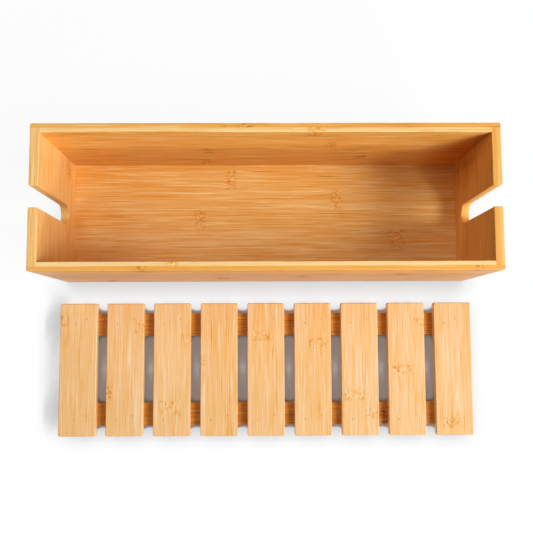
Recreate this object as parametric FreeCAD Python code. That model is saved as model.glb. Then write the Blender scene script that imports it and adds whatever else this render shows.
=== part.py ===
"""Desktop cable management box in laminated bamboo: five glued boards and a slatted lift-off lid.

Millimetres. The origin is the middle of the box's underside, on the table: +X runs along the box,
+Y to its back and +Z up. The lid lies on the table in front of the box, slats up.
"""
import FreeCAD, Part
import os

V = FreeCAD.Vector

# Box
box_length = 400.0  # outside, along X
box_depth = 126.0  # outside, along Y
wall_height = 125.0  # table to rim
ply = 4.0  # one layer of a side board, which has two
base_thickness = 5.0
corner_round = 1.5  # outer upright corners
edge_round = 0.6  # rim and foot edges, eased after gluing

# Cable slots, one in each end board
slot_width = 18.5
slot_sill = 26.0  # table to the lowest point of the round end
slot_outer_round = 1.3
slot_inner_round = 0.8

# Lid
slat_width = 36.0
slat_gap = 9.75  # wanted between slats: as many slats as then fill the lid
slat_thickness = 8.0
slat_corner_round = 1.5
slat_edge_round = 0.8
lid_overhang = 1.0  # past the outside of the box, all round
batten_width = 22.0
batten_thickness = 8.0
batten_corner_round = 0.8
batten_edge_round = 0.5
batten_clearance = 0.5  # battens to the inside of the walls when the lid is on
lid_laid_gap = 22.5  # table left free between the box and the lid

# Brads, two where a slat crosses a batten
brad_width = 1.25  # flattened wire, its wide side along the slat's grain
brad_thickness = 1.0
brad_point = 1.5  # length of the chisel point
brad_point_thickness = 0.3
brad_set = 0.3  # depth of the heads below the slat's top
brad_cover = 2.5  # batten left under the points
brad_edge_distance = 10.0  # from a slat's long edges
brad_end_distance = 6.0  # least distance from a batten's end
brad_row_offset = 3.0  # from the battens' middles towards the lid's long edges
brad_stagger = 4.0  # across the batten, so that a pair does not split it
brad_fit = 0.03  # room round a brad in its hole

# Making
run_out = 20.0  # how far cutting tools run past the faces that they cut
turn_share = 0.9  # largest eased edge on a rounded corner, as a share of the corner's radius
edge_tolerance = 1e-4  # for telling which edges lie in a plane

# Sizes that follow
wall = 2 * ply
half_length = box_length / 2
half_depth = box_depth / 2
inner_half_length = half_length - wall
inner_half_depth = half_depth - wall
ply_half_length = half_length - ply  # the rabbets are one ply deep
ply_half_depth = half_depth - ply
lid_length = box_length + 2 * lid_overhang
lid_depth = box_depth + 2 * lid_overhang
lid_y = -half_depth - lid_laid_gap - lid_depth / 2
slat_count = round((lid_length + slat_gap) / (slat_width + slat_gap))
slat_pitch = (lid_length - slat_width) / (slat_count - 1)
slat_top = batten_thickness + slat_thickness
batten_length = 2 * (inner_half_length - batten_clearance)
batten_offset = inner_half_depth - batten_clearance - batten_width / 2


def block(x0, x1, y0, y1, z0, z1):
    """A plain block between two corners."""
    return Part.makeBox(x1 - x0, y1 - y0, z1 - z0, V(x0, y0, z0))


def prism(points, height):
    """An upright prism on a closed outline in the table plane."""
    outline = [V(x, y, 0) for x, y in points]
    return Part.Face(Part.makePolygon(outline + outline[:1])).extrude(V(0, 0, height))


def upright(edge):
    """Whether an edge runs straight up."""
    straight = edge.Curve.TypeId == "Part::GeomLine"
    return straight and abs(edge.tangentAt(edge.FirstParameter).z) > 1 - edge_tolerance


def edges_in_plane(shape, axis, value):
    """The edges that lie in the plane where one coordinate has one value."""

    def flat(edge):
        low, high = getattr(edge.BoundBox, axis + "Min"), getattr(edge.BoundBox, axis + "Max")
        return max(abs(low - value), abs(high - value)) < edge_tolerance

    return [edge for edge in shape.Edges if flat(edge)]


def round_uprights(shape, radius):
    """The shape with its upright edges rounded."""
    return shape.makeFillet(radius, [edge for edge in shape.Edges if upright(edge)])


def ease_top_and_foot(shape, height, radius, *corner_rounds):
    """The shape with its top and foot edges eased, by no more than its rounded corners allow."""
    eased = min([radius] + [turn_share * corner for corner in corner_rounds])
    return shape.makeFillet(eased, edges_in_plane(shape, "Z", 0) + edges_in_plane(shape, "Z", height))


def eased_board(length, depth, height, corner, edge):
    """A board that stands on the origin, with rounded corners and eased edges."""
    board = round_uprights(block(-length / 2, length / 2, -depth / 2, depth / 2, 0, height), corner)
    return ease_top_and_foot(board, height, edge, corner)


def slot_tool():
    """The round-ended slot's outline, upright in the YZ plane, driven along the whole box."""
    radius = slot_width / 2
    start, centre, top = -half_length - run_out, slot_sill + radius, wall_height + run_out
    outline = [(-radius, centre), (-radius, top), (radius, top), (radius, centre)]
    corners = [V(start, y, z) for y, z in outline]
    sides = [Part.makeLine(a, b) for a, b in zip(corners, corners[1:])]
    round_end = Part.Arc(corners[-1], V(start, 0, slot_sill), corners[0]).toShape()
    return Part.Face(Part.Wire(sides + [round_end])).extrude(V(box_length + 2 * run_out, 0, 0))


def slot_edges(shape, plane):
    """The edges of the slot where it leaves an upright face of an end board."""
    reach = slot_width / 2 + edge_tolerance

    def on_slot(edge):
        box = edge.BoundBox
        within = -reach < box.YMin and box.YMax < reach and box.ZMin > slot_sill - edge_tolerance
        return within and (upright(edge) or edge.Curve.TypeId == "Part::GeomCircle")

    return [edge for edge in edges_in_plane(shape, "X", plane) if on_slot(edge)]


def carcass():
    """The glued box as one form, with its slots routed and its edges eased across the joints."""
    outside = block(-half_length, half_length, -half_depth, half_depth, 0, wall_height)
    inside = block(
        -inner_half_length, inner_half_length, -inner_half_depth, inner_half_depth,
        base_thickness, wall_height + run_out,
    )
    form = round_uprights(outside, corner_round).cut(inside).cut(slot_tool())
    for side in (-1, 1):
        form = form.makeFillet(slot_outer_round, slot_edges(form, side * half_length))
        form = form.makeFillet(slot_inner_round, slot_edges(form, side * inner_half_length))
    return ease_top_and_foot(form, wall_height, edge_round, corner_round, slot_outer_round, slot_inner_round)


def base_panel():
    """The base board, let into the rabbets round the foot of the four walls."""
    return block(-ply_half_length, ply_half_length, -ply_half_depth, ply_half_depth, 0, base_thickness)


def long_region(side):
    """The room of a front or back board: an outer ply of full length, an inner ply between the ends."""
    x_out, x_in = half_length + run_out, inner_half_length
    y_out, y_ply, y_in = (side * y for y in (half_depth + run_out, ply_half_depth, inner_half_depth))
    outline = [(-x_out, y_out), (-x_out, y_ply), (-x_in, y_ply), (-x_in, y_in)]
    return prism(outline + [(-x, y) for x, y in reversed(outline)], wall_height)


def end_region(side):
    """The room of an end board, between the outer plies of the long boards."""
    x0, x1 = sorted((side * inner_half_length, side * (half_length + run_out)))
    return block(x0, x1, -ply_half_depth, ply_half_depth, 0, wall_height)


def slat_x(number):
    """The middle of a slat, counted from the left."""
    return slat_pitch * (number - (slat_count - 1) / 2)


def slat(number):
    """One slat of the lid, lying across the battens."""
    board = eased_board(slat_width, lid_depth, slat_thickness, slat_corner_round, slat_edge_round)
    board.translate(V(slat_x(number), lid_y, batten_thickness))
    return board


def batten(side):
    """One of the two battens that carry the slats and drop inside the long walls."""
    board = eased_board(batten_length, batten_width, batten_thickness, batten_corner_round, batten_edge_round)
    board.translate(V(0, lid_y + side * batten_offset, 0))
    return board


def brad_points():
    """The tip of every brad: two for each slat on each batten, clear of the batten's ends."""
    reach = batten_length / 2 - brad_end_distance
    half_spacing = slat_width / 2 - brad_edge_distance
    tips = []
    for number in range(slat_count):
        for side in (-1, 1):
            for end in (-1, 1):
                x = slat_x(number) + end * half_spacing
                y = lid_y + side * (batten_offset + brad_row_offset) + end * brad_stagger / 2
                tips.append(V(max(-reach, min(reach, x)), y, brad_cover))
    return tips


def brad_form(tip, top, room):
    """A brad of flattened wire with a chisel point, with some room added round it."""
    half, blunt, neck = brad_thickness / 2 + room, brad_point_thickness / 2 + room, tip.z + brad_point
    outline = [(-blunt, tip.z), (blunt, tip.z), (half, neck), (half, top), (-half, top), (-half, neck)]
    corners = [V(tip.x + x, tip.y - brad_width / 2 - room, z) for x, z in outline]
    return Part.Face(Part.makePolygon(corners + corners[:1])).extrude(V(0, brad_width + 2 * room, 0))


def brad(tip):
    """A headless brad, set just below the slat's top."""
    return brad_form(tip, slat_top - brad_set, 0)


def brad_hole(tip):
    """The hole that a brad fills, from its point out past the slat's top."""
    return brad_form(tip, slat_top + run_out, brad_fit)


def build():
    """Every piece by name."""
    base = base_panel()
    walls = carcass().cut(base)
    pieces = {
        "base_panel": base,
        "front_panel": walls.common(long_region(-1)),
        "back_panel": walls.common(long_region(1)),
        "left_end_panel": walls.common(end_region(-1)),
        "right_end_panel": walls.common(end_region(1)),
    }
    tips = brad_points()
    holes = Part.makeCompound([brad_hole(tip) for tip in tips])
    for number in range(slat_count):
        pieces[f"lid_slat_{number + 1}"] = slat(number).cut(holes)
    pieces["lid_batten_front"] = batten(-1).cut(holes)
    pieces["lid_batten_back"] = batten(1).cut(holes)
    pieces["lid_brads"] = Part.makeCompound([brad(tip) for tip in tips])
    return pieces


os.makedirs("parts", exist_ok=True)
for name, shape in build().items():
    shape.exportStep(f"parts/{name}.step")
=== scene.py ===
"""Finishes, studio and camera for a bamboo cable box with a slatted lift-off lid.

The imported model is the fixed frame: each board, slat, batten and brad keeps its own mesh, and gets a
finish that follows how it was cut. Objects are in metres, and finishes are worked out in millimetres.
"""

from math import cos, pi, radians, sin
from typing import NamedTuple

import bmesh
import bpy
from bpy.props import FloatProperty, FloatVectorProperty, PointerProperty
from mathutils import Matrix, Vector


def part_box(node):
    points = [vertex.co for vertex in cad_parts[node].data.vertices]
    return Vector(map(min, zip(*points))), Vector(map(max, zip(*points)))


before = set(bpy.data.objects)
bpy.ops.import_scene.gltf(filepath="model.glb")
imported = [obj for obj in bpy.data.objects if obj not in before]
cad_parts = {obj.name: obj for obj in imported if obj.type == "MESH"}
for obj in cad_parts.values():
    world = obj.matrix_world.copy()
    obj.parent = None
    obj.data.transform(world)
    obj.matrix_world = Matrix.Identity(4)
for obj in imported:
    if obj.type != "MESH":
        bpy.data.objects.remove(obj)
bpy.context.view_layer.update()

bl_info = {
    "name": "Bamboo Cable Box",
    "version": (1, 0, 0),
    "blender": (4, 5, 0),
    "location": "View3D > Sidebar > Cable Box",
    "description": "Bamboo and steel finishes, studio and camera for a cable box with a slatted lid",
    "category": "Object",
}

MILLIMETRE = 0.001
PICTURE_WIDTH = 533  # pixels, and as many high
SENSOR_WIDTH = 36.0  # millimetres
LAMP_AIM = Vector((0.0, -0.05, 0.08))  # the point that every lamp faces
FLOOR_DROP = 0.1  # millimetres from the underside of the pieces down to the paper
KEY_SIDE = (0.75, -0.2, 0.63)  # from the table towards the right soft box
BACK_SIDE = (0.0, 0.75, 0.66)  # from the table towards the back
LEE_START, LEE_FULL = -0.06, -0.08  # metres along Y, where the shade beside the lid sets in
LACQUER_IOR = 1.46


def colour(name, description, default):
    """A colour that the user can change."""
    return FloatVectorProperty(
        name=name, description=description, default=default, subtype="COLOR", size=3, min=0.0, max=1.0
    )


def share(name, description, default):
    """A factor from none to all that the user can change."""
    return FloatProperty(
        name=name, description=description, default=default, subtype="FACTOR", min=0.0, max=1.0
    )


def size(name, description, default):
    """A length in metres that the user can change."""
    return FloatProperty(
        name=name, description=description, default=default, unit="LENGTH", min=0.0, precision=4
    )


def angle(name, description, default):
    """An angle, given in degrees, that the user can change."""
    return FloatProperty(name=name, description=description, default=radians(default), unit="ROTATION")


class BambooSettings(bpy.types.PropertyGroup):
    """Sizes and gloss of the lacquered bamboo."""

    strip_width: size("Strip width", "Width of the strips that a board is glued up from", 0.0205)
    relief: size("Relief", "Depth of the fibres felt through the lacquer", 0.00012)
    roughness: share("Roughness", "Roughness of the satin lacquer", 0.42)


class BoxPalette(bpy.types.PropertyGroup):
    """Colours of the box's boards, from the darkest fibres to the palest."""

    brown: colour("Brown", "Fibre ends and the specks in a knot", (0.40, 0.16, 0.018))
    amber: colour("Amber", "Darker streaks along the fibres", (0.80, 0.33, 0.042))
    honey: colour("Honey", "Most of a board's face", (0.87, 0.43, 0.085))
    # Eased edges lean towards the pale colour, partly as sanded wood and partly as a painted highlight
    pale: colour("Pale", "Sanded edges and the palest fibres", (0.97, 0.66, 0.28))


class SlatPalette(bpy.types.PropertyGroup):
    """Colours of the lid's slats, from the darkest fibres to the palest."""

    brown: colour("Brown", "Fibre ends and the specks in a knot", (0.585, 0.227, 0.033))
    amber: colour("Amber", "Darker streaks along the fibres", (0.785, 0.392, 0.095))
    honey: colour("Honey", "Most of a slat's face", (0.822, 0.492, 0.20))
    # Eased edges lean towards the pale colour, partly as sanded wood and partly as a painted highlight
    pale: colour("Pale", "Sanded edges and the palest fibres", (0.86, 0.643, 0.425))


class BattenPalette(bpy.types.PropertyGroup):
    """Colours of the lid's battens, from the darkest fibres to the palest."""

    brown: colour("Brown", "Fibre ends and the specks in a knot", (0.22, 0.06, 0.006))
    amber: colour("Amber", "Darker streaks along the fibres", (0.43, 0.145, 0.009))
    honey: colour("Honey", "Most of a batten's face", (0.55, 0.20, 0.012))
    # Eased edges lean towards the pale colour, partly as sanded wood and partly as a painted highlight
    pale: colour("Pale", "Sanded edges and the palest fibres", (0.69, 0.35, 0.07))


class BradSettings(bpy.types.PropertyGroup):
    """Colours of the brads."""

    steel: colour("Steel", "Bare wire", (0.64, 0.42, 0.21))
    tarnish: colour("Tarnish", "Brown film on the wire", (0.50, 0.27, 0.10))
    roughness: share("Roughness", "Roughness of the wire's cut end", 0.5)


class StudioSettings(bpy.types.PropertyGroup):
    """Floor, light and camera."""

    floor: colour("Floor", "Paper floor as it bounces light", (0.80, 0.80, 0.80))
    floor_open: colour("Open floor", "Paper floor as the camera sees it in the open", (1.0, 1.0, 1.0))
    # Painted shade: the floor colours in nooks and deep in nooks, and the lee and foot shade below, stand in
    # for shade on the floor
    nook_painted_shade: colour("Nooks", "Paper floor as the camera sees it between the slats", (0.275, 0.21, 0.18))
    corner_painted_shade: colour("Corners", "Paper floor as the camera sees it deep in a nook", (0.13, 0.10, 0.09))
    lee_shade: share("Lee shade", "How much darker the floor is beside the lid, away from the key", 0.37)
    foot_shade: share("Foot shade", "How much darker the floor is close in front of a piece", 0.36)
    foot_reach: size("Foot reach", "How near a piece has to be to shade the floor in front of it", 0.018)
    nook_reach: size("Nook reach", "How near a piece has to be to shade the floor", 0.03)
    shadow: share("Shadow", "How much of the lamps' shadows the camera sees on the floor", 0.07)
    floor_size: size("Floor size", "Side of the paper floor", 8.0)
    key_share: share("Key share", "Share of the light that comes from the soft box on the right", 0.60)
    key_turn: angle("Key turn", "Direction of the right soft box, from right towards back", -20.0)
    key_height: angle("Key height", "Height of the right soft box above the table", 46.0)
    front_share: share("Front share", "Share of the light that comes from the soft box in front", 0.28)
    front_turn: angle("Front turn", "Direction of the front soft box, from right towards back", -58.0)
    front_height: angle("Front height", "Height of the front soft box above the table", 26.0)
    fill_share: share("Fill share", "Share of the light that comes from the soft box on the left", 0.21)
    fill_turn: angle("Fill turn", "Direction of the left soft box, from right towards back", 160.0)
    fill_height: angle("Fill height", "Height of the left soft box above the table", 55.0)
    lamp_distance: size("Lamp distance", "From the object to each soft box", 2.6)
    lamp_width: size("Lamp width", "Width of each soft box", 1.6)
    lamp_height: size("Lamp height", "Height of each soft box", 0.9)
    room: share("Room", "Brightness of the room where a shiny surface mirrors it", 0.28)
    room_light: share("Room light", "Share of the light that comes from the room", 0.016)
    camera_place: FloatVectorProperty(
        name="Camera place", description="Where the camera stands", default=(-0.00455, -0.11561, 0.7166),
        subtype="XYZ", unit="LENGTH", size=3,
    )
    camera_tilt: angle("Camera tilt", "Tilt from straight down towards the back", 5.404)
    camera_turn: angle("Camera turn", "Turn from straight down towards the left", 0.445)
    camera_roll: angle("Camera roll", "Roll about the line of sight", 0.215)
    focal_pixels: FloatProperty(
        name="Focal length", description="Focal length in pixels of the picture", default=712.88, min=1.0
    )


class CableBoxSettings(bpy.types.PropertyGroup):
    """All that can be changed on the box and its studio."""

    bamboo: PointerProperty(type=BambooSettings, name="Bamboo", description="Lacquered bamboo")
    box_palette: PointerProperty(type=BoxPalette, name="Box palette", description="Colours of the boards")
    slat_palette: PointerProperty(type=SlatPalette, name="Slat palette", description="Colours of the slats")
    batten_palette: PointerProperty(
        type=BattenPalette, name="Batten palette", description="Colours of the battens"
    )
    brads: PointerProperty(type=BradSettings, name="Brads", description="Brads in the lid")
    studio: PointerProperty(type=StudioSettings, name="Studio", description="Floor, light and camera")


class Wire:
    """A socket in a node tree. Arithmetic on wires adds Math nodes."""

    def __init__(self, tree, socket=None):
        self.tree = tree
        self.socket = socket

    def node(self, kind, settings=None, inputs=None, output=0):
        """Adds a node: its settings first, then the values or links of its sockets."""
        made = self.tree.nodes.new(kind)
        for name, value in (settings or {}).items():
            if name == "stops":
                self.set_stops(made.color_ramp, value)
            else:
                setattr(made, name, value)
        for name, value in (inputs or {}).items():
            if isinstance(value, Wire):
                self.tree.links.new(value.socket, made.inputs[name])
            else:
                made.inputs[name].default_value = value
        return Wire(self.tree, made.outputs[output] if made.outputs else None)

    @staticmethod
    def set_stops(ramp, stops):
        """Gives a colour ramp its stops, as places and colours."""
        while len(ramp.elements) < len(stops):
            ramp.elements.new(1.0)
        for element, (place, rgb) in zip(ramp.elements, stops):
            element.position = place
            element.color = (*rgb, 1.0)

    def output(self, name):
        """Another output of the same node."""
        return Wire(self.tree, self.socket.node.outputs[name])

    def maths(self, operation, *values):
        """A Math node on numbers and wires."""
        return self.node("ShaderNodeMath", {"operation": operation}, dict(enumerate(values)))

    def __add__(self, other):
        return self.maths("ADD", self, other)

    def __sub__(self, other):
        return self.maths("SUBTRACT", self, other)

    def __mul__(self, other):
        return self.maths("MULTIPLY", self, other)

    def __truediv__(self, other):
        return self.maths("DIVIDE", self, other)

    def __rsub__(self, other):
        return self.maths("SUBTRACT", other, self)

    def __rtruediv__(self, other):
        return self.maths("DIVIDE", other, self)

    def __abs__(self):
        return self.maths("ABSOLUTE", self)

    __radd__ = __add__
    __rmul__ = __mul__

    def larger(self, other):
        """The larger of two values."""
        return self.maths("MAXIMUM", self, other)

    def ease(self, start, end):
        """A smooth step from 0 where the wire has one value to 1 where it has the other."""
        return self.node(
            "ShaderNodeMapRange", {"interpolation_type": "SMOOTHSTEP"},
            {"Value": self, "From Min": start, "From Max": end},
        )

    def split(self, order):
        """The parts of a vector in the order of the axes named."""
        parts = self.node("ShaderNodeSeparateXYZ", {}, {"Vector": self})
        return [parts.output(axis) for axis in order]

    def noise(self, scales, detail=2.0, roughness=0.5):
        """Cloudy values from 0 to 1, with its own scale along each part of the vector."""
        scaled = self.node("ShaderNodeVectorMath", {"operation": "MULTIPLY"}, {0: self, 1: scales})
        return self.node(
            "ShaderNodeTexNoise", {},
            {"Vector": scaled, "Scale": 1.0, "Detail": detail, "Roughness": roughness},
        )

    def mix(self, first, second):
        """A colour between two, with the wire as the factor."""
        return self.node(
            "ShaderNodeMix", {"data_type": "RGBA"}, {0: self, 6: first, 7: second}, output=2
        )


def new_material(name):
    """An empty material and the start of its nodes."""
    material = bpy.data.materials.new(name)
    material.use_nodes = True
    material.node_tree.nodes.clear()
    return material, Wire(material.node_tree)


def dress(node, material):
    """Puts a material on a piece of the frame."""
    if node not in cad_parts:
        raise RuntimeError(f"the frame has no piece named {node}")
    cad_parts[node].data.materials[0] = material


class Knot(NamedTuple):
    """Where a strip's knot crosses it."""

    strip: int  # strips counted across the board from its seam
    along: float  # millimetres along the grain from the board's middle
    side: int = 1  # the ply that holds it, on the upper or lower side through the board
    length: float = 11.0  # millimetres along the grain


class Board(NamedTuple):
    """How one board was cut and glued up."""

    node: str
    axes: str  # along the grain, across it, and through the board
    seam: float  # millimetres from the board's middle to the first strip's edge
    seed: float  # which stretch of the grain it was cut from
    upper: float = 0.0  # how pale the edge of the ply on the upper side is
    lower: float = 0.0  # and that on the lower side
    tone: float = 0.0  # how pale its faces are
    fine: float = 1.0  # how strongly its fine fibres show
    broad: float = 1.0  # and its broad streaks
    end: float = 0.6  # how much darker its fibre ends are
    knots: tuple = ()


LONG_BOARDS = (
    Board(
        "front_panel", "XZY", -0.5, 11.0, upper=0.78, lower=0.35, tone=-0.46, fine=0.75, broad=1.0,
        knots=(
            Knot(3, -79), Knot(3, -104, -1, 8.0), Knot(3, 178, -1), Knot(0, 35, -1), Knot(-2, -150, -1),
            Knot(1, 122, -1), Knot(-1, -40, -1), Knot(-1, 90),
        ),
    ),
    Board(
        "back_panel", "XZY", -0.5, 23.0, upper=-0.02, lower=0.36, tone=-0.1, fine=1.6, broad=2.0,
        knots=(
            Knot(0, -54, -1), Knot(-2, -59, -1), Knot(1, 60, -1), Knot(-1, 91, -1, 14.0),
            Knot(3, 42, -1, 16.0), Knot(3, -18), Knot(-1, 120), Knot(1, -135), Knot(-2, 10),
        ),
    ),
)
END_BOARDS = (
    Board(
        "left_end_panel", "YZX", -0.5, 37.0,
        upper=-0.08, lower=-0.08, tone=0.22, fine=1.3, broad=1.7, end=0.1,
        knots=(Knot(-2, 44), Knot(0, -30, -1), Knot(-1, 38, -1)),
    ),
    Board(
        "right_end_panel", "YZX", -0.5, 41.0,
        upper=0.19, lower=-0.03, tone=-0.1, fine=1.3, broad=1.7, end=0.1,
        knots=(
            Knot(0, 45, -1, 8.0), Knot(-1, 46, -1, 8.0), Knot(-2, 47, -1, 8.0), Knot(1, -36), Knot(-1, 20),
        ),
    ),
)
BASE_BOARD = Board(
    "base_panel", "XYZ", 9.0, 53.0, tone=0.14, fine=0.95, broad=1.3,
    knots=(
        Knot(1, -35), Knot(-1, -66), Knot(0, 71), Knot(-2, 133, 1, 18.0), Knot(0, -120, -1), Knot(2, 60, -1),
    ),
)
SLATS = (
    Board("lid_slat_1", "YXZ", -9.7, 61.0, tone=-0.04, knots=(Knot(-1, 47), Knot(0, -20, -1))),
    Board("lid_slat_2", "YXZ", -11.2, 67.0, knots=(Knot(1, 40), Knot(-1, -23, 1, 14.0), Knot(1, 5, -1))),
    Board("lid_slat_3", "YXZ", -12.0, 71.0, knots=(Knot(1, 29), Knot(0, -37, 1, 14.0), Knot(0, 30, -1))),
    Board("lid_slat_4", "YXZ", -12.6, 79.0, knots=(Knot(-1, 9), Knot(1, -45, -1))),
    Board("lid_slat_5", "YXZ", -12.8, 83.0, knots=(Knot(0, 32), Knot(1, 20, -1))),
    Board("lid_slat_6", "YXZ", -4.6, 89.0, knots=(Knot(0, 25), Knot(0, -35, -1))),
    Board("lid_slat_7", "YXZ", -15.6, 97.0, knots=(Knot(0, -25.5), Knot(1, -43), Knot(1, 40, -1))),
    Board("lid_slat_8", "YXZ", -14.0, 101.0, knots=(Knot(0, -1), Knot(1, 45, 1, 8.0), Knot(0, 15, -1))),
    Board("lid_slat_9", "YXZ", -11.5, 103.0, knots=(Knot(0, -52), Knot(1, -10, -1))),
)
BATTENS = (
    Board("lid_batten_front", "XYZ", -10.5, 107.0, knots=(Knot(0, 117), Knot(1, 117), Knot(0, -60, -1))),
    Board("lid_batten_back", "XYZ", -10.5, 109.0, knots=(Knot(0, -98), Knot(1, 30, -1))),
)


def bamboo(board, settings, palette):
    """The finish of one board: strips of bamboo in two plies, with their fibres, knots and eased edges."""
    material, start = new_material(board.node + "_bamboo")
    low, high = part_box(board.node)
    place = start.node("ShaderNodeTexCoord", output="Object")
    local = start.node(
        "ShaderNodeMapping", {"vector_type": "TEXTURE"},
        {"Vector": place, "Location": (low + high) / 2, "Scale": (MILLIMETRE,) * 3},
    )
    along, across, through = local.split(board.axes)
    end_facing, edge_facing, face_facing = (abs(part) for part in place.output("Normal").split(board.axes))

    # Strips, staggered by half a width from one ply to the other
    upper = through.maths("GREATER_THAN", through, 0.0)
    strip_place = (across - board.seam) / (settings.strip_width / MILLIMETRE) + (1 - upper) * 0.5
    strip = strip_place.maths("FLOOR", strip_place)
    strip_key = start.node("ShaderNodeCombineXYZ", {}, {"X": strip, "Y": upper, "Z": board.seed})
    chance = start.node("ShaderNodeTexWhiteNoise", {}, {"Vector": strip_key})
    seam = abs(strip_place - strip - 0.5).ease(0.485, 0.5)

    # Knots, with the fibres drawn aside round them
    knot, halo = 0.0, 0.0
    for mark in board.knots:
        ply = upper if mark.side > 0 else 1 - upper
        held = abs(strip_place - (mark.strip + 0.5)).ease(0.51, 0.47) * ply
        distance = abs(along - mark.along)
        knot = held * distance.ease(mark.length * 0.62, mark.length * 0.3) + knot
        halo = held * distance.ease(mark.length * 2.6, 0.0) + halo
    swirl = local.noise((0.11, 0.11, 0.11), 1.0) - 0.5
    ripple = local.noise((0.45, 0.45, 0.45), 1.0) - 0.5
    centred = (strip_place - strip - 0.5) * (settings.strip_width / MILLIMETRE)
    bent = across - centred * halo * 0.25 + swirl * (halo * 2.0 + 0.15) + ripple * knot * 2.0

    # Fibres, broken at the seams
    fibre_place = start.node(
        "ShaderNodeCombineXYZ", {},
        {"X": along + chance * 400.0, "Y": bent, "Z": through + board.seed},
    )
    streak = fibre_place.noise((0.006, 0.1, 0.1), 2.0)
    fibre = fibre_place.noise((0.012, 0.35, 0.35), 2.0, 0.6)
    hair = fibre_place.noise((0.02, 1.0, 1.0), 2.0, 0.6)
    fade = fibre_place.noise((0.035, 0.5, 0.5), 1.0).ease(0.3, 0.7)
    dash = fibre_place.noise((0.07, 1.5, 1.5), 1.0).ease(0.6, 0.74)
    speck = fibre_place.noise((0.3, 0.7, 0.7), 2.0)

    # How pale each point is, from brown at 0 to pale at 1
    edge = face_facing.ease(0.75, 0.45)
    end = end_facing.ease(0.2, 0.6)
    # Eased edges are paler: partly sanded wood, partly a painted highlight along the rounded edges
    sanded_edge_and_highlight = end_facing.larger(edge_facing.larger(face_facing)).ease(0.97, 0.8) * (1 - end_facing)
    lines = ((fibre - 0.5) * 0.35 + (hair - 0.5) * 1.6) * (fade * 1.3 + 0.35)
    grain = (streak - 0.5) * (0.3 * board.broad) + lines * board.fine
    tone = 0.62 + board.tone + grain * (1.0 - edge * 0.45)
    tone = tone + (chance - 0.5) * 0.16 - dash * 0.09 - seam * 0.12
    tone = tone + knot * ((speck - 0.5) * 2.0 - 0.12) - halo * 0.06
    tone = tone + edge * (upper * (board.upper - board.lower) + board.lower)
    tone = tone - end * board.end + sanded_edge_and_highlight * 0.15
    hue = start.node(
        "ShaderNodeValToRGB",
        {"stops": ((0.0, palette.brown), (0.3, palette.amber), (0.62, palette.honey), (1.0, palette.pale))},
        {"Fac": tone},
    )

    height = fibre * 0.6 + hair * 0.4 - dash * 0.3 + knot * speck * 0.8 - seam * 0.5
    bump = start.node(
        "ShaderNodeBump", {}, {"Strength": 0.5, "Distance": settings.relief, "Height": height}
    )
    surface = start.node(
        "ShaderNodeBsdfPrincipled", {},
        {
            "Base Color": hue,
            "Roughness": settings.roughness + (fibre - 0.5) * 0.25 + end * 0.2 + knot * 0.1,
            "Normal": bump,
            "IOR": LACQUER_IOR,
        },
    )
    start.node("ShaderNodeOutputMaterial", {}, {"Surface": surface})
    return material


def brad_wire(settings):
    """Dull steel wire with a brown film."""
    material, start = new_material("brad_wire")
    place = start.node("ShaderNodeTexCoord", output="Object")
    film = place.noise((2500.0, 2500.0, 900.0), 2.0)
    surface = start.node(
        "ShaderNodeBsdfPrincipled", {},
        {
            "Base Color": film.ease(0.35, 0.65).mix((*settings.steel, 1.0), (*settings.tarnish, 1.0)),
            "Metallic": film.ease(0.7, 0.3) * 0.6,
            "Roughness": settings.roughness + (film - 0.5) * 0.3,
        },
    )
    start.node("ShaderNodeOutputMaterial", {}, {"Surface": surface})
    return material


def seen_directly(start):
    """1 where a ray comes from the camera or off a shiny or clear surface, and 0 elsewhere."""
    camera = start.node("ShaderNodeLightPath", output="Is Camera Ray")
    return camera.larger(camera.output("Is Glossy Ray")).larger(camera.output("Is Transmission Ray"))


def openness(start, samples, reach, side=None):
    """How open the space is round a point, on the side that it faces or on another side."""
    inputs = {"Distance": reach}
    if side:
        inputs["Normal"] = start.node("ShaderNodeCombineXYZ", {}, dict(zip("XYZ", side)))
    return start.node("ShaderNodeAmbientOcclusion", {"samples": samples}, inputs, output="AO")


def paper_floor(settings):
    """White paper, with painted shade in nooks and close in front of the pieces and a painted shadow beside
    the lid, which bounces light and keeps a soft shadow.
    """
    material, start = new_material("paper_floor")
    above = openness(start, 96, settings.nook_reach)
    to_key = openness(start, 32, settings.nook_reach, KEY_SIDE)
    to_back = openness(start, 32, settings.foot_reach, BACK_SIDE)
    # Painted shade: the colour that the camera sees turns grey where the space round a point is closed, as
    # between the slats, and darker deep in nooks
    stops = (
        (0.19, settings.corner_painted_shade), (0.25, settings.nook_painted_shade), (0.38, settings.nook_painted_shade),
        (0.42, (0.82,) * 3), (0.48, (0.93,) * 3), (0.72, (0.97,) * 3), (0.98, settings.floor_open),
    )
    painted_shade_tint = start.node("ShaderNodeValToRGB", {"stops": stops}, {"Fac": above})
    (forward,) = start.node("ShaderNodeTexCoord", output="Object").split("Y")
    # Painted shadow beside the lid, on the side away from the key
    painted_lee_shadow = (above - to_key).ease(0.04, 0.17) * forward.ease(LEE_START, LEE_FULL) * settings.lee_shade
    # Painted shade close in front of the box and the lid
    painted_foot_shade = (1 - to_back) * above.ease(0.38, 0.46) * settings.foot_shade
    painted_shade_tint = painted_lee_shadow.larger(painted_foot_shade).mix(painted_shade_tint, (0.0, 0.0, 0.0, 1.0))
    # The camera sees the floor glow with this painted shade in it, and only a small share of real lamp
    # shading
    glow = start.node("ShaderNodeEmission", {}, {"Color": painted_shade_tint})
    shaded = start.node("ShaderNodeBsdfDiffuse", {}, {"Color": painted_shade_tint})
    seen = start.node("ShaderNodeMixShader", {}, {0: settings.shadow, 1: glow, 2: shaded})
    paper = start.node("ShaderNodeBsdfDiffuse", {}, {"Color": (*settings.floor, 1.0)})
    surface = start.node("ShaderNodeMixShader", {}, {0: seen_directly(start), 1: paper, 2: seen})
    start.node("ShaderNodeOutputMaterial", {}, {"Surface": surface})
    return material


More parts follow.
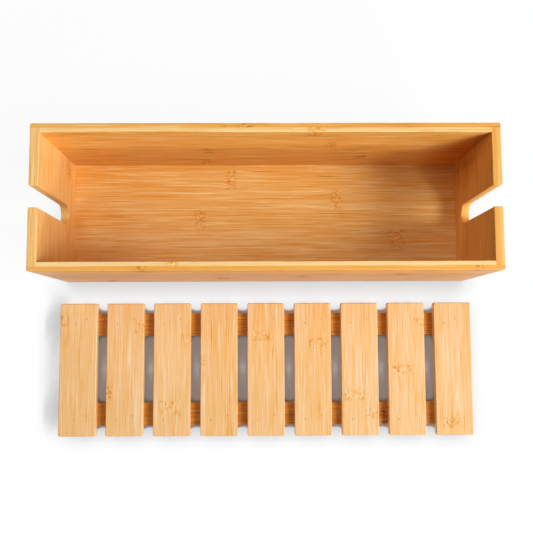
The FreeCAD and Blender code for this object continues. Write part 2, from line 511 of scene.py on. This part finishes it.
def lay_floor(settings):
    """A sheet of paper on the table, just clear of the pieces that stand on it."""
    mesh = bpy.data.meshes.new("floor")
    form = bmesh.new()
    bmesh.ops.create_grid(form, x_segments=1, y_segments=1, size=settings.floor_size / 2)
    bmesh.ops.translate(form, verts=form.verts, vec=(0.0, 0.0, -FLOOR_DROP * MILLIMETRE))
    form.to_mesh(mesh)
    form.free()
    mesh.materials.append(paper_floor(settings))
    floor = bpy.data.objects.new("floor", mesh)
    bpy.context.scene.collection.objects.link(floor)


def hang_lamp(name, part, turn, height, settings):
    """A soft box that faces the object and gives its part of the light on the table."""
    towards = Vector((cos(turn) * cos(height), sin(turn) * cos(height), sin(height)))
    lamp = bpy.data.lights.new(name, "AREA")
    lamp.shape = "RECTANGLE"
    lamp.size = settings.lamp_width
    lamp.size_y = settings.lamp_height
    lamp.energy = part * (pi * settings.lamp_distance) ** 2 / towards.z
    soft_box = bpy.data.objects.new(name, lamp)
    soft_box.location = LAMP_AIM + towards * settings.lamp_distance
    soft_box.rotation_euler = towards.to_track_quat("Z", "Y").to_euler()
    bpy.context.scene.collection.objects.link(soft_box)


def light_studio(settings):
    """Soft boxes to the right, in front and to the left, in a dim room that the camera sees as white."""
    hang_lamp("key", settings.key_share, settings.key_turn, settings.key_height, settings)
    hang_lamp("front", settings.front_share, settings.front_turn, settings.front_height, settings)
    hang_lamp("fill", settings.fill_share, settings.fill_turn, settings.fill_height, settings)
    world = bpy.data.worlds.new("white_room")
    world.use_nodes = True
    world.node_tree.nodes.clear()
    start = Wire(world.node_tree)
    camera = start.node("ShaderNodeLightPath", output="Is Camera Ray")
    dim = seen_directly(start) * (settings.room - settings.room_light) + settings.room_light
    room = start.node(
        "ShaderNodeBackground", {}, {"Color": (1.0, 1.0, 1.0, 1.0), "Strength": camera.larger(dim)}
    )
    start.node("ShaderNodeOutputWorld", {}, {"Surface": room})
    bpy.context.scene.world = world


def stand_camera(settings):
    """The camera above the lid, looking down and a little to the back."""
    camera = bpy.data.objects.new("camera", bpy.data.cameras.new("camera"))
    camera.data.sensor_width = SENSOR_WIDTH
    camera.data.lens = settings.focal_pixels * SENSOR_WIDTH / PICTURE_WIDTH
    camera.location = settings.camera_place
    camera.rotation_mode = "ZXY"
    camera.rotation_euler = (settings.camera_tilt, -settings.camera_turn, -settings.camera_roll)
    bpy.context.scene.collection.objects.link(camera)
    bpy.context.scene.camera = camera


class CABLEBOX_OT_long_boards(bpy.types.Operator):
    """Finish the front and back boards"""

    bl_idname = "cable_box.long_boards"
    bl_label = "Front and Back Boards"

    def execute(self, context):
        settings = context.scene.cable_box
        for board in LONG_BOARDS:
            dress(board.node, bamboo(board, settings.bamboo, settings.box_palette))
        return {"FINISHED"}


class CABLEBOX_OT_end_boards(bpy.types.Operator):
    """Finish the two end boards with their cable slots"""

    bl_idname = "cable_box.end_boards"
    bl_label = "End Boards"

    def execute(self, context):
        settings = context.scene.cable_box
        for board in END_BOARDS:
            dress(board.node, bamboo(board, settings.bamboo, settings.box_palette))
        return {"FINISHED"}


class CABLEBOX_OT_base_board(bpy.types.Operator):
    """Finish the base board"""

    bl_idname = "cable_box.base_board"
    bl_label = "Base Board"

    def execute(self, context):
        settings = context.scene.cable_box
        dress(BASE_BOARD.node, bamboo(BASE_BOARD, settings.bamboo, settings.box_palette))
        return {"FINISHED"}


class CABLEBOX_OT_slats(bpy.types.Operator):
    """Finish the slats of the lid"""

    bl_idname = "cable_box.slats"
    bl_label = "Lid Slats"

    def execute(self, context):
        settings = context.scene.cable_box
        for board in SLATS:
            dress(board.node, bamboo(board, settings.bamboo, settings.slat_palette))
        return {"FINISHED"}


class CABLEBOX_OT_battens(bpy.types.Operator):
    """Finish the battens under the slats"""

    bl_idname = "cable_box.battens"
    bl_label = "Lid Battens"

    def execute(self, context):
        settings = context.scene.cable_box
        for board in BATTENS:
            dress(board.node, bamboo(board, settings.bamboo, settings.batten_palette))
        return {"FINISHED"}


class CABLEBOX_OT_brads(bpy.types.Operator):
    """Finish the brads that hold the slats to the battens"""

    bl_idname = "cable_box.brads"
    bl_label = "Lid Brads"

    def execute(self, context):
        dress("lid_brads", brad_wire(context.scene.cable_box.brads))
        return {"FINISHED"}


class CABLEBOX_OT_stage(bpy.types.Operator):
    """Lay the floor, light the studio and stand the camera"""

    bl_idname = "cable_box.stage"
    bl_label = "Stage"

    def execute(self, context):
        settings = context.scene.cable_box.studio
        context.scene.view_settings.view_transform = "Standard"
        lay_floor(settings)
        light_studio(settings)
        stand_camera(settings)
        return {"FINISHED"}


STEPS = (
    CABLEBOX_OT_long_boards, CABLEBOX_OT_end_boards, CABLEBOX_OT_base_board, CABLEBOX_OT_slats,
    CABLEBOX_OT_battens, CABLEBOX_OT_brads, CABLEBOX_OT_stage,
)


class CABLEBOX_PT_panel(bpy.types.Panel):
    """The steps and settings of the cable box"""

    bl_idname = "CABLEBOX_PT_panel"
    bl_label = "Cable Box"
    bl_space_type = "VIEW_3D"
    bl_region_type = "UI"
    bl_category = "Cable Box"

    def draw(self, context):
        for step in STEPS:
            self.layout.operator(step.bl_idname)
        settings = context.scene.cable_box
        for group in (settings.bamboo, settings.box_palette, settings.slat_palette, settings.batten_palette,
                      settings.brads, settings.studio):
            box = self.layout.box()
            for name in group.__annotations__:
                box.prop(group, name)


CLASSES = (
    BambooSettings, BoxPalette, SlatPalette, BattenPalette, BradSettings, StudioSettings, CableBoxSettings,
    *STEPS, CABLEBOX_PT_panel,
)


def register():
    for cls in CLASSES:
        bpy.utils.register_class(cls)
    bpy.types.Scene.cable_box = PointerProperty(type=CableBoxSettings)


def unregister():
    del bpy.types.Scene.cable_box
    for cls in reversed(CLASSES):
        bpy.utils.unregister_class(cls)


def main():
    """Runs every step in order."""
    register()
    bpy.ops.cable_box.long_boards()
    bpy.ops.cable_box.end_boards()
    bpy.ops.cable_box.base_board()
    bpy.ops.cable_box.slats()
    bpy.ops.cable_box.battens()
    bpy.ops.cable_box.brads()
    bpy.ops.cable_box.stage()


if __name__ == "__main__":
    main()
